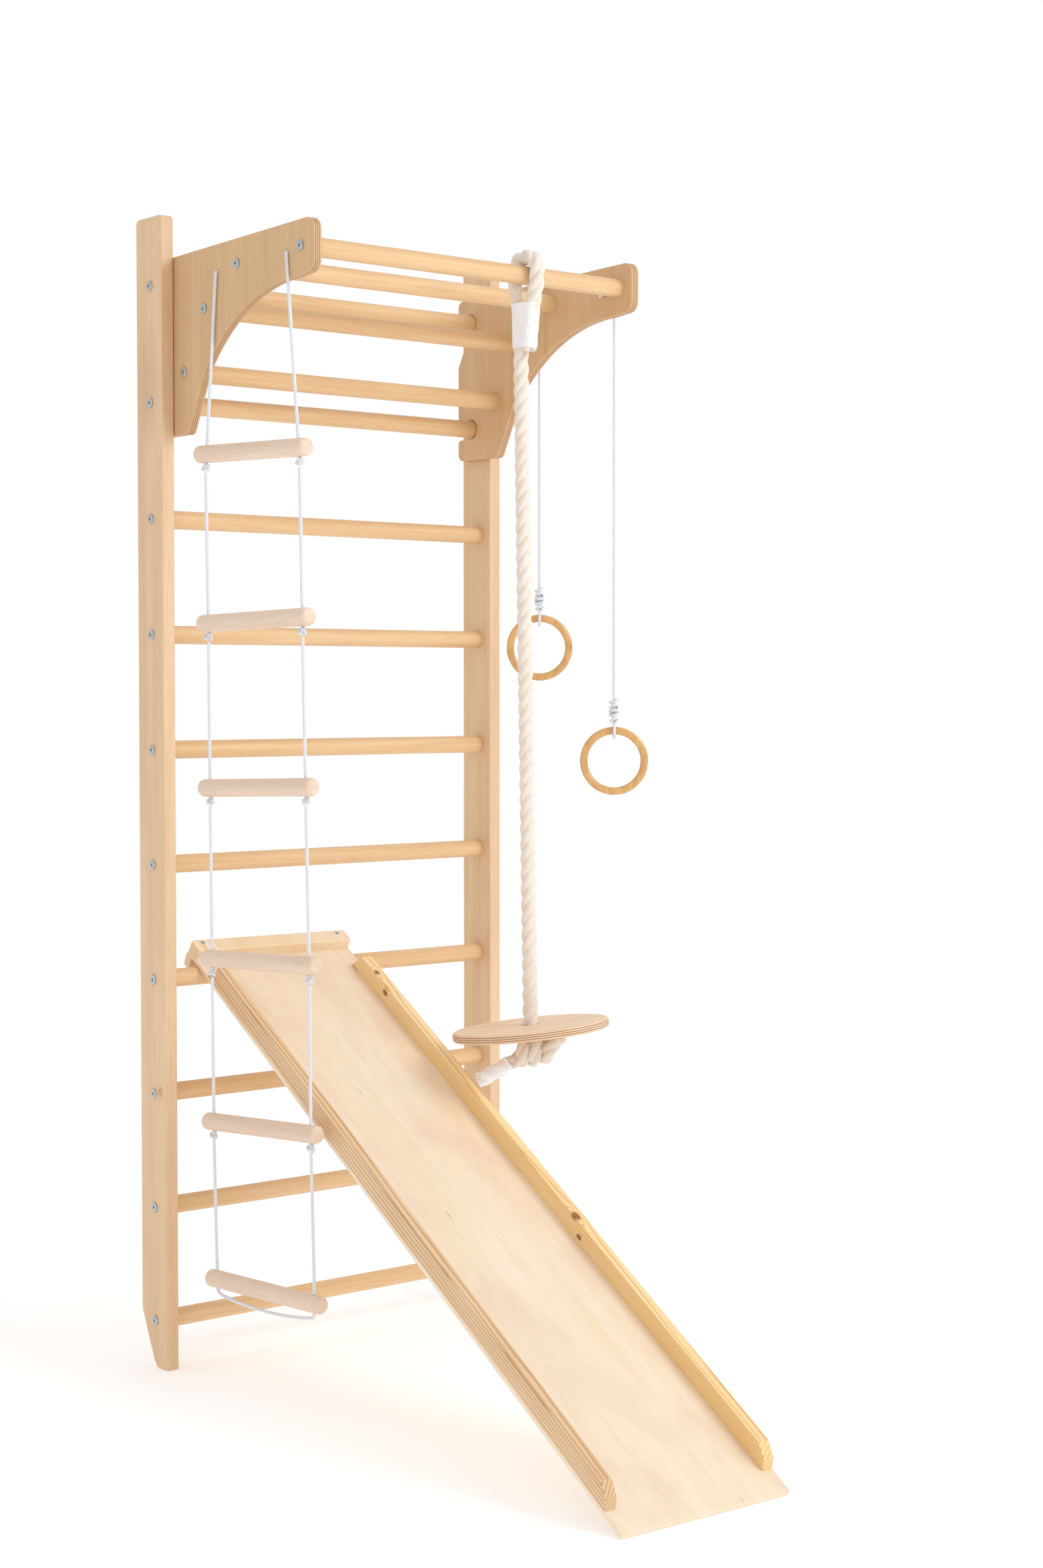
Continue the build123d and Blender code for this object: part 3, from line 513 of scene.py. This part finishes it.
def rope_finish():
    """Unbleached cotton: fine yarns that wind round each strand, and fluff that catches the light, with
    painted shade where the fluff is low.
    """
    made, tree, shader = finish_material("cotton_yarn")
    where = add(tree, "TexCoord").outputs["Object"]
    spots = add(tree, "SeparateXYZ", {0: add(tree, "TexCoord").outputs["UV"]})
    yarns = maths(tree, "ADD", maths(tree, "MULTIPLY", spots.outputs[1], math.tau * YARNS_ROUND),
                  maths(tree, "MULTIPLY", spots.outputs[0], math.tau * YARNS_ALONG))
    yarns = maths(tree, "SINE", yarns)
    fluff = noise(tree, where, 700, 4, 0.7)
    cloud = noise(tree, where, 60, 3, 0.5)
    colour = steps(tree, cloud, (0.3, paint(245, 236, 226)), (0.7, paint(236, 224, 211)))
    # Painted shade: the cotton is coloured darker where the fluff is low.
    colour = blend(tree, steps(tree, fluff, (0.35, 0.35), (0.60, 0.0)), colour, paint(222, 204, 182))
    tree.links.new(colour, shader.inputs["Base Color"])
    shader.inputs["Roughness"].default_value = 0.95
    shader.inputs["Sheen Weight"].default_value = 0.5
    height = maths(tree, "ADD", maths(tree, "MULTIPLY", yarns, 0.35), fluff)
    emboss(tree, shader, height, 0.0008, 0.55)
    return made


def tape_finish():
    made, tree, shader = finish_material("white_tape")
    where = add(tree, "TexCoord").outputs["Object"]
    creases = noise(tree, stretch(tree, where, (120, 120, 60)), 1.0, 4, 0.6, 1.5)
    # Painted shade: the white tape is coloured darker in its creases.
    tree.links.new(steps(tree, creases, (0.3, paint(236, 237, 241)), (0.6, paint(250, 250, 252))),
                   shader.inputs["Base Color"])
    shader.inputs["Roughness"].default_value = 0.3
    emboss(tree, shader, creases, 0.0008, 0.3)
    return made


white_braid = cord_finish()
cotton = rope_finish()
tape_white = tape_finish()
print("cord, rope and tape finishes ready")

# %% [markdown]
# ## Routes
# A cord is a smooth line first. Its few control points make a NURBS curve of order 3, which rounds every
# corner on its own. Reading the points back from the evaluated curve gives a path that strands and knots
# can follow.


# %% Route helpers
def smooth_line(name, points):
    """A bare NURBS curve through a route's control points."""
    data = bpy.data.curves.new(name, "CURVE")
    data.dimensions = "3D"
    data.resolution_u = 24
    data.use_fill_caps = True
    spline = data.splines.new("NURBS")
    spline.points.add(len(points) - 1)
    for point, place in zip(spline.points, points):
        point.co = (*place, 1)
    spline.order_u = 3
    spline.use_endpoint_u = True
    line = bpy.data.objects.new(name, data)
    bpy.context.scene.collection.objects.link(line)
    return line


def read_path(line):
    """The points that a bare curve passes through."""
    mesh = bpy.data.meshes.new_from_object(line)
    path = [vertex.co.copy() for vertex in mesh.vertices]
    bpy.data.meshes.remove(mesh)
    return path


def length_of(path):
    return sum((b - a).length for a, b in zip(path, path[1:]))


def even_steps(path, step):
    """The same path with its points a step apart."""
    total = length_of(path)
    count = max(2, round(total / step))
    spaced = [path[0].copy()]
    walked = 0.0
    target = total / count
    for a, b in zip(path, path[1:]):
        piece = (b - a).length
        while piece and len(spaced) < count and walked + piece >= target * len(spaced):
            spaced.append(a.lerp(b, (target * len(spaced) - walked) / piece))
        walked += piece
    spaced.append(path[-1].copy())
    return spaced


def carried_frames(path):
    """Two sideways directions at each point, carried along without twisting."""
    last = len(path) - 1
    tangents = [(path[min(i + 1, last)] - path[max(i - 1, 0)]).normalized() for i in range(len(path))]
    side = tangents[0].orthogonal().normalized()
    frames = []
    for tangent in tangents:
        side = (side - tangent * side.dot(tangent)).normalized()
        frames.append((side, tangent.cross(side)))
    return frames


def round_line(name, points, radius, material, rings=4):
    """A poly line given a round section."""
    data = bpy.data.curves.new(name, "CURVE")
    data.dimensions = "3D"
    spline = data.splines.new("POLY")
    spline.points.add(len(points) - 1)
    for point, place in zip(spline.points, points):
        point.co = (*place, 1)
    data.bevel_depth = radius
    data.bevel_resolution = rings
    data.use_fill_caps = True
    data.materials.append(material)
    line = bpy.data.objects.new(name, data)
    bpy.context.scene.collection.objects.link(line)
    return line


def as_mesh(pieces, name):
    """Turns curves into one mesh object."""
    bpy.ops.object.select_all(action="DESELECT")
    for piece in pieces:
        piece.select_set(True)
    bpy.context.view_layer.objects.active = pieces[0]
    bpy.ops.object.convert(target="MESH")
    if len(pieces) > 1:
        bpy.ops.object.join()
    made = bpy.context.object
    made.name = name
    bpy.ops.object.mode_set(mode="EDIT")
    bpy.ops.mesh.select_all(action="SELECT")
    bpy.ops.mesh.normals_make_consistent(inside=False)
    bpy.ops.object.mode_set(mode="OBJECT")
    bpy.ops.object.shade_smooth()
    return made


STRANDS, STRAND_SHARE = 3, 0.55


def laid_rope(name, path, radius, lay_length, material):
    """Three strands that wind round a path, as in a laid rope."""
    strand_radius = radius * STRAND_SHARE
    offset = radius - strand_radius
    frames = carried_frames(path)
    step = length_of(path) / (len(path) - 1)
    strands = []
    for strand in range(STRANDS):
        places = []
        for index, (point, (side, other)) in enumerate(zip(path, frames)):
            angle = math.tau * (strand / STRANDS + index * step / lay_length)
            places.append(point + (side * math.cos(angle) + other * math.sin(angle)) * offset)
        strands.append(round_line(f"{name}_strand", places, strand_radius, material))
    return as_mesh(strands, name)


def mount(piece, body, slot, *nodes):
    """Lets a finished piece ride a body and hides the nodes that it stands for; slot is not used."""
    if nodes:
        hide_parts(*nodes)
    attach(piece, body)


print("route helpers ready")

# %% [markdown]
# ## Climbing rope
# The rope goes over the front grip bar, comes back down beside itself and is taped into an eye. It then
# hangs down through the disc, a little forward of upright. It is a three-strand laid rope, so three tubes
# wind round the route.

# %% Climbing rope
ROPE_RADIUS = 0.015
ROPE_X = 0.132
ROPE_LEAN = 0.030
BAR_Y, BAR_Z = -0.515, 2.087
LEG_OFFSET = 0.0154
LOOP = 0.0329
ROPE_KNOT_TOP = 0.643
KNOT_Y = BAR_Y + LEG_OFFSET - ROPE_LEAN

ROPE_ROUTE = [
    (-LEG_OFFSET * 0.55, -0.140),
    (-LEG_OFFSET * 0.95, -0.095),
    (-LEG_OFFSET, -0.070),
    (-LOOP, -0.015),
    (-LOOP, LOOP * 0.55),
    (-LOOP * 0.60, LOOP * 1.05),
    (LOOP * 0.60, LOOP * 1.05),
    (LOOP, LOOP * 0.55),
    (LOOP, -0.015),
    (LEG_OFFSET, -0.070),
    (LEG_OFFSET, -0.160),
    (LEG_OFFSET - ROPE_LEAN, ROPE_KNOT_TOP - 0.010 - BAR_Z),
]


def route_path(name, points, step):
    """Even points on a smooth route; the curve itself is thrown away."""
    line = smooth_line(name, points)
    path = even_steps(read_path(line), step)
    bpy.data.objects.remove(line)
    return path


rope_path = route_path("rope_route", [(ROPE_X, BAR_Y + y, BAR_Z + z) for y, z in ROPE_ROUTE], 0.006)
LAY_LENGTH = 0.086
rope = laid_rope("climbing_rope_strands", rope_path, ROPE_RADIUS, LAY_LENGTH, cotton)
mount(rope, "hanging_rope", "cotton_rope", "climbing_rope")

# %% [markdown]
# ## Stopper knot and tail
# Under the disc the rope is tied in a fat stopper knot. From outside such a knot is a few tight turns round
# a level axis, with a bight of rope that comes out at one end and is tucked back in. The tail leaves at the
# other end and is taped so that it can't fray.


# %% Stopper knot
def trefoil(centre, spread, height, turn, count=60):
    """A closed overhand knot round a centre, squeezed to a spread (x, y) and a height."""
    places = []
    for index in range(count + 1):
        t = math.tau * index / count
        flat = Vector(((math.sin(t) + 2 * math.sin(2 * t)) / 3 * spread[0],
                       (math.cos(t) - 2 * math.cos(2 * t)) / 3 * spread[1], -math.sin(3 * t) * height))
        places.append(Vector(centre) + turn.to_matrix() @ flat)
    return places


KNOT_CENTRE = Vector((ROPE_X, KNOT_Y, ROPE_KNOT_TOP - 0.0285))
KNOT_AXIS = Vector((0.76, -0.63, 0.12)).normalized()
KNOT_AWAY = Vector((0, 0, 1)).cross(KNOT_AXIS).normalized()
KNOT_UP = KNOT_AXIS.cross(KNOT_AWAY)
COIL_TURNS, COIL_STEP, COIL_RADIUS = 2.25, 0.023, 0.0150
COIL_START, COIL_START_TURN, COIL_POINTS = -0.026, 0.30, 36


def knot_place(along_axis, away, up):
    return KNOT_CENTRE + KNOT_AXIS * along_axis + KNOT_AWAY * away + KNOT_UP * up


knot_points = []
for index in range(COIL_POINTS + 1):
    turns = COIL_TURNS * index / COIL_POINTS
    angle = math.tau * (turns + COIL_START_TURN)
    along_axis = COIL_START + COIL_STEP * turns
    knot_points.append(knot_place(along_axis, COIL_RADIUS * math.sin(angle), COIL_RADIUS * math.cos(angle)))
BIGHT = ((0.036, -0.008, 0.004), (0.050, -0.010, 0.014), (0.058, 0.000, 0.019),
         (0.050, 0.010, 0.016), (0.030, 0.006, 0.008), (0.010, 0.000, 0.000))
knot_points += [knot_place(*place) for place in BIGHT]
knot_path = route_path("knot_route", knot_points, 0.004)
rope_knot = laid_rope("rope_knot_strands", knot_path, ROPE_RADIUS * 0.96, LAY_LENGTH * 1.15, cotton)
mount(rope_knot, "hanging_rope", "cotton_rope", "rope_stopper_knot")

TAIL_START = Vector((ROPE_X - 0.010, KNOT_Y + 0.008, ROPE_KNOT_TOP - 0.032))
TAIL_END = Vector((ROPE_X - 0.078, KNOT_Y + 0.063, ROPE_KNOT_TOP - 0.084))
TAIL_SAG = Vector((0, 0, -0.004))
tail_path = route_path("tail_route", [TAIL_START, TAIL_START.lerp(TAIL_END, 0.4) + TAIL_SAG, TAIL_END], 0.004)
tail = laid_rope("rope_tail_strands", tail_path, ROPE_RADIUS * 0.93, LAY_LENGTH, cotton)
mount(tail, "hanging_rope", "cotton_rope", "rope_tail")
print("knot and tail tied")


# %% [markdown]
# ## Tape
# Tape pulled tight round a laid rope shows the strands through it. A tube is swept along the rope, and its
# radius rises over each strand. Round the eye's two legs the tape is a flattened sleeve with creases.


# %% Tape sleeves
def wrapped_sleeve(name, path, outline, material):
    """A closed sleeve along a path. outline(index, angle) gives the distance from the path at an angle."""
    frames = carried_frames(path)
    bpy.ops.object.select_all(action="DESELECT")
    bpy.ops.mesh.primitive_cylinder_add(vertices=36, radius=1, depth=1, end_fill_type="NGON")
    sleeve = bpy.context.object
    sleeve.name = name
    rows = len(path)
    shape = bmesh.new()
    shape.from_mesh(sleeve.data)
    side_edges = [e for e in shape.edges if abs(e.verts[0].co.z - e.verts[1].co.z) > 0.5]
    bmesh.ops.subdivide_edges(shape, edges=side_edges, cuts=rows - 2, use_grid_fill=False)
    for vertex in shape.verts:
        index = round((vertex.co.z + 0.5) * (rows - 1))
        angle = math.atan2(vertex.co.y, vertex.co.x)
        side, other = frames[index]
        reach = outline(index, angle)
        vertex.co = path[index] + (side * math.cos(angle) + other * math.sin(angle)) * reach
    bmesh.ops.recalc_face_normals(shape, faces=shape.faces)
    shape.to_mesh(sleeve.data)
    shape.free()
    sleeve.data.materials.append(material)
    bpy.ops.object.shade_smooth_by_angle(angle=math.radians(50))
    return sleeve


TAPE_GROWTH = 0.0006


def strand_bulges(path, radius):
    """The outline of tape over three strands: it bridges the valleys between them."""
    step = length_of(path) / (len(path) - 1)

    def outline(index, angle):
        turn = angle - math.tau * index * step / LAY_LENGTH
        return radius * (0.900 + 0.105 * math.cos(3 * turn)) + TAPE_GROWTH
    return outline


TAPED_FROM = 0.30
TAPE_OVERHANG = 0.0015
tape_from = round(len(tail_path) * TAPED_FROM)
end_direction = (tail_path[-1] - tail_path[-2]).normalized()
taped_path = tail_path[tape_from:] + [tail_path[-1] + end_direction * TAPE_OVERHANG]
tail_tape = wrapped_sleeve("tail_tape_wrap", taped_path, strand_bulges(taped_path, ROPE_RADIUS), tape_white)
mount(tail_tape, "hanging_rope", "white_tape", "rope_tail_tape")

EYE_TAPE_TOP, EYE_TAPE_BOTTOM = BAR_Z - 0.052, BAR_Z - 0.135
EYE_ROWS = 28
EYE_LEAN = 0.0040
eye_top = Vector((ROPE_X, BAR_Y, EYE_TAPE_TOP))
eye_bottom = Vector((ROPE_X, BAR_Y + EYE_LEAN, EYE_TAPE_BOTTOM))
eye_path = [eye_top.lerp(eye_bottom, row / EYE_ROWS) for row in range(EYE_ROWS + 1)]


def eye_outline(index, angle):
    """A racetrack round two legs side by side along Y, wider at its top, with small creases."""
    half_round = ROPE_RADIUS + 0.0010
    down = index / EYE_ROWS
    half_span = LEG_OFFSET * (1.16 - 0.38 * down)
    side, other = eye_frames[index]
    direction = side * math.cos(angle) + other * math.sin(angle)
    y_part, x_part = abs(direction.y), abs(direction.x)
    crease = 0.0005 * math.sin(9 * angle + 4.0 * down) * math.sin(14 * down + 2 * angle)
    if x_part * half_span > half_round * y_part:
        return half_round / max(x_part, 1e-6) + crease
    inner = half_round**2 - (half_span * x_part)**2
    return half_span * y_part + math.sqrt(max(inner, 0)) + crease


eye_frames = carried_frames(eye_path)
eye_tape = wrapped_sleeve("eye_tape_wrap", eye_path, eye_outline, tape_white)
mount(eye_tape, "hanging_rope", "white_tape", "rope_eye_tape")

# %% [markdown]
# ## Ring cords
# Each ring hangs on one white cord. The cord comes out of a hole in the panel and drops straight down, and
# it is tied round the ring with a knot whose turns climb the cord.

# %% Ring cords
CORD_RADIUS = 0.003
PANEL_FACE_X = 0.382
RING_CORD_X = PANEL_FACE_X + CORD_RADIUS + 0.006
RUNG_Y, TOP_RUNG_Z = -0.050, 2.070
HOLES = {"rear": (RUNG_Y - 0.194, TOP_RUNG_Z + 0.005), "front": (RUNG_Y - 0.425, TOP_RUNG_Z + 0.010)}
RING_HEIGHTS = {"rear": 1.391, "front": 1.164}
RING_BAND_RADIUS = 0.060
RING_TURN = math.radians(-40)
LOOP_RADIUS, LOOP_POINTS = 0.0142, 48
RING_KNOT_HEIGHT, RING_KNOT_TURNS, RING_KNOT_REACH = 0.044, 5, 0.0078


def braided_cord(name, points):
    """One length of braided cord on a smooth route, as a mesh, and the path that it follows."""
    line = smooth_line(name, points)
    path = read_path(line)
    line.data.bevel_depth = CORD_RADIUS
    line.data.bevel_resolution = 4
    line.data.materials.append(white_braid)
    cord = as_mesh([line], name)
    return cord, path


def wound_knot(name, bottom, height, turns, wide):
    """Cord wound in a few close turns round itself, with a slightly uneven body."""
    places = []
    count = turns * 20
    for index in range(count + 1):
        share = index / count
        angle = math.tau * turns * share
        reach = wide * (0.80 + 0.20 * math.sin(math.pi * share) + 0.10 * math.sin(2.3 * angle))
        z = bottom[2] + height * (share + 0.04 * math.sin(angle * 1.7))
        places.append(Vector((bottom[0] + reach * math.cos(angle), bottom[1] + reach * math.sin(angle), z)))
    return as_mesh([round_line(name, places, CORD_RADIUS * 0.95, white_braid)], name)


for end, (hole_y, hole_z) in HOLES.items():
    ring_z = RING_HEIGHTS[end]
    knot_bottom = ring_z + RING_BAND_RADIUS + LOOP_RADIUS - 0.001
    line, path = braided_cord(f"ring_{end}_cord", [
        (RING_CORD_X, hole_y, hole_z),
        (RING_CORD_X, hole_y, hole_z - 0.020),
        (RING_CORD_X, hole_y, hole_z - 0.045),
        (RING_CORD_X, hole_y, knot_bottom + 0.030),
    ])
    knot = wound_knot(f"ring_{end}_knot", (RING_CORD_X, hole_y, knot_bottom + 0.004), RING_KNOT_HEIGHT,
                      RING_KNOT_TURNS, RING_KNOT_REACH)
    ring_top = Vector((RING_CORD_X, hole_y, ring_z + RING_BAND_RADIUS))
    loop_places = []
    for index in range(LOOP_POINTS + 1):
        angle = math.tau * index / LOOP_POINTS
        flat = Vector((0, LOOP_RADIUS * math.sin(angle), LOOP_RADIUS * math.cos(angle)))
        loop_places.append(ring_top + Matrix.Rotation(RING_TURN, 3, "Z") @ flat)
    loop = as_mesh([round_line("loop", loop_places, CORD_RADIUS, white_braid)], f"ring_{end}_loop")
    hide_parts(f"ring_cord_{end}")
    for piece in (line, knot, loop):
        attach(piece, f"ring_line_{end}")

# %% [markdown]
# ## Rope ladder cords
# Two cords carry the ladder. They lean outwards from their holes to the first step and then hang straight.
# A small knot under each step holds it up, and under the last step the two cords are one, in a shallow bow.

# %% Ladder cords
LADDER_X = -(PANEL_FACE_X + CORD_RADIUS + 0.0002)
LADDER_MIDDLE_Y = RUNG_Y - 0.3155
CORD_REACH = {"rear": 0.1505, "front": -0.1505}
STEP_RADIUS = 0.0165
STEP_HEIGHTS = (1.737, 1.431, 1.127, 0.808, 0.503, 0.200)
STEP_TILTS = (-1.8, 1.0, 2.0, 2.2, 3.2, 1.5)
STEP_TURNS = (1.0, 1.1, 1.9, 2.6, 2.6, 2.8)
STEP_SWAYS = (-0.0030, 0.0015, 0.0055, 0.0100, 0.0120, 0.0185)
KNOT_RADIUS = 0.009


def ladder_knot(number, end):
    """The middle of the knot under one end of a step."""
    reach = CORD_REACH[end]
    step = number - 1
    turn, tilt = math.radians(STEP_TURNS[step]), math.radians(STEP_TILTS[step])
    x = LADDER_X + STEP_SWAYS[step] - reach * math.sin(turn)
    y = LADDER_MIDDLE_Y + reach * math.cos(turn)
    z = STEP_HEIGHTS[step] - reach * math.sin(tilt) - STEP_RADIUS - KNOT_RADIUS
    return Vector((x, y, z))


def strand_top(number, end):
    if number == 1:
        return Vector((LADDER_X, *HOLES[end]))
    return ladder_knot(number - 1, end) - Vector((0, 0, KNOT_RADIUS))


def small_knot(name, centre, turn, size=1.0):
    """A tight overhand knot in thin cord."""
    places = trefoil(centre, (0.0068 * size, 0.0060 * size), 0.0040 * size, Euler(turn))
    return as_mesh([round_line(name, places, CORD_RADIUS * 0.9, white_braid, 3)], name)


for number in range(1, STEP_COUNT):
    body = f"ladder_stage_{number}"
    made = []
    for end in ("rear", "front"):
        top = strand_top(number, end)
        knot_centre = ladder_knot(number, end)
        away = (knot_centre - top).normalized()
        name = f"ladder_{end}_cord_{number}"
        line, path = braided_cord(name, [top, top + away * 0.02, top.lerp(knot_centre, 0.5), knot_centre])
        knot = small_knot(f"ladder_{end}_knot_{number}", knot_centre, (1.2, 0.3 * number, 0.5 + number))
        for piece in (line, knot):
            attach(piece, body)
        made.append(line)
    for line in made:
        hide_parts(f"ladder_cords_{number}")

DIP = Vector((0, 0, 0.012))
rear_low, front_low = ladder_knot(STEP_COUNT, "rear"), ladder_knot(STEP_COUNT, "front")
rear_top, front_top = strand_top(STEP_COUNT, "rear"), strand_top(STEP_COUNT, "front")
bow, bow_path = braided_cord("ladder_bow_cord", [
    rear_top,
    rear_low + DIP * 3,
    rear_low + DIP * 0.3,
    rear_low.lerp(front_low, 0.04) - DIP * 0.3,
    rear_low.lerp(front_low, 0.33) - DIP,
    rear_low.lerp(front_low, 0.67) - DIP,
    rear_low.lerp(front_low, 0.96) - DIP * 0.3,
    front_low + DIP * 0.3,
    front_low + DIP * 3,
    front_top,
])
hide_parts("ladder_cord_6")
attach(bow, "ladder_stage_6")
print("ladder cords made")

# %% [markdown]
# ## Knots inside the panels
# On the inner face of each panel a knot stops each cord from slipping out through its hole.

# %% Stopper knots
STOPPER_SIZE = 0.8
for side, sign in (("left", -1), ("right", 1)):
    made = []
    for end, (hole_y, hole_z) in HOLES.items():
        knot_x = sign * (PANEL_INNER_X - KNOT_RADIUS)
        middle = (knot_x, hole_y, hole_z)
        knot = small_knot(f"{side}_{end}_stopper", middle, (0.4, 1.3, 0.7 * sign), STOPPER_SIZE)
        bend_x = sign * (RING_CORD_X if side == "right" else -LADDER_X)
        through = [middle, (sign * 0.372, hole_y, hole_z), (sign * 0.380, hole_y, hole_z),
                   (bend_x, hole_y, hole_z - 0.0005), (bend_x, hole_y, hole_z - 0.006)]
        stub = smooth_line(f"{side}_{end}_stub", through)
        stub.data.bevel_depth = CORD_RADIUS
        stub.data.bevel_resolution = 4
        stub.data.materials.append(white_braid)
        made += [knot, as_mesh([stub], f"{side}_{end}_stub")]
    for piece in made:
        mount(piece, "pull_up_frame", "white_cord", f"cord_stoppers_{side}")
print("stopper knots tied")

# %% [markdown]
# ## Floor finish
# The floor is plain and white, and it glows a little, so that it meets the white background without a line.

# %% Floor finish
FLOOR_TONE = (0.93, 0.93, 0.93, 1)
FLOOR_GLOW = 0.22
made, tree, shader = finish_material("pale_floor")
shader.inputs["Base Color"].default_value = FLOOR_TONE
shader.inputs["Roughness"].default_value = 0.9
shader.inputs["Emission Color"].default_value = (1, 1, 1, 1)
shader.inputs["Emission Strength"].default_value = FLOOR_GLOW
floor.data.materials.append(made)
print("floor painted")
